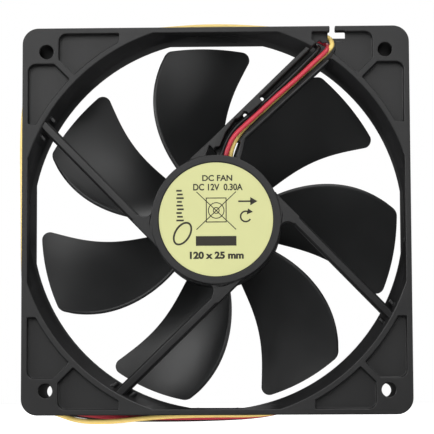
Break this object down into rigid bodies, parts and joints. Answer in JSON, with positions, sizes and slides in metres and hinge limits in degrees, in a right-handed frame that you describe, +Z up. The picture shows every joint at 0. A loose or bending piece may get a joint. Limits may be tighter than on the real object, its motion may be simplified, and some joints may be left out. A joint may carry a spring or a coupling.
{
  "type": "case fan",
  "caption": "Square axial case fan: moulded frame with tangential struts, bladed rotor on a sleeve bearing, brushless motor and a wired lead with its plug.",
  "frame": {"origin": "on the rotor axis at the plane of the rear (exhaust) face, the middle of the rear hole pattern", "axes": "+Y along the rotor axis from the rear face to the front (intake) face, +Z up, +X to the right seen from the rear"},
  "size_m": [0.1213, 0.025, 0.1245],
  "materials": {
    "frame_plastic": "moulded black, fine satin grain",
    "impeller_plastic": "moulded black, smooth satin",
    "label_paper": "printed adhesive label, pale yellow-green",
    "label_ink": "dark olive printing ink",
    "cap_rubber": "matt",
    "white_nylon": "natural nylon",
    "sintered_bronze": "oil-filled sintered bronze",
    "polished_steel": "ground and polished",
    "brass": "turned",
    "yoke_steel": "zinc plated",
    "magnet_ferrite": "bonded ferrite",
    "lamination_steel": "stacked laminations",
    "insulator_plastic": "moulded bobbin",
    "copper_enamel": "enamelled copper wire",
    "board_green": "solder mask",
    "tinned_metal": "tin plated",
    "chip_black": "moulded epoxy",
    "ceramic_tan": "ceramic",
    "wire_black": "PVC insulation",
    "wire_red": "PVC insulation",
    "wire_yellow": "PVC insulation",
    "plug_plastic": "moulded nylon"
  },
  "bodies": {
    "housing": {"frame": "frame_plastic", "motor_base": "frame_plastic", "label": "label_paper", "bearing_cap": "cap_rubber", "thrust_washer": "white_nylon", "sleeve_bearing": "sintered_bronze", "oil_seal_ring": "cap_rubber", "stator_core": "lamination_steel", "rear_insulator": "insulator_plastic", "front_insulator": "insulator_plastic", "coil_1": "copper_enamel", "coil_2": "copper_enamel", "coil_3": "copper_enamel", "coil_4": "copper_enamel", "circuit_board": "board_green", "winding_pins": "tinned_metal", "hall_sensor": "chip_black", "driver_chip": "chip_black", "capacitor": "ceramic_tan", "diode": "chip_black", "wire_black": "wire_black", "wire_red": "wire_red", "wire_yellow": "wire_yellow", "terminal_black": "tinned_metal", "terminal_red": "tinned_metal", "terminal_yellow": "tinned_metal", "connector_housing": "plug_plastic"},
    "rotor": {"impeller": "impeller_plastic", "shaft": "polished_steel", "retaining_clip": "white_nylon", "shaft_insert": "brass", "rotor_yoke": "yoke_steel", "rotor_magnet": "magnet_ferrite"}
  },
  "joints": [
    {"name": "impeller_spin", "type": "hinge", "parent": "housing", "child": "rotor", "pos_m": [0, 0, 0], "axis": [0, 1, 0], "continuous": true}
  ]
}
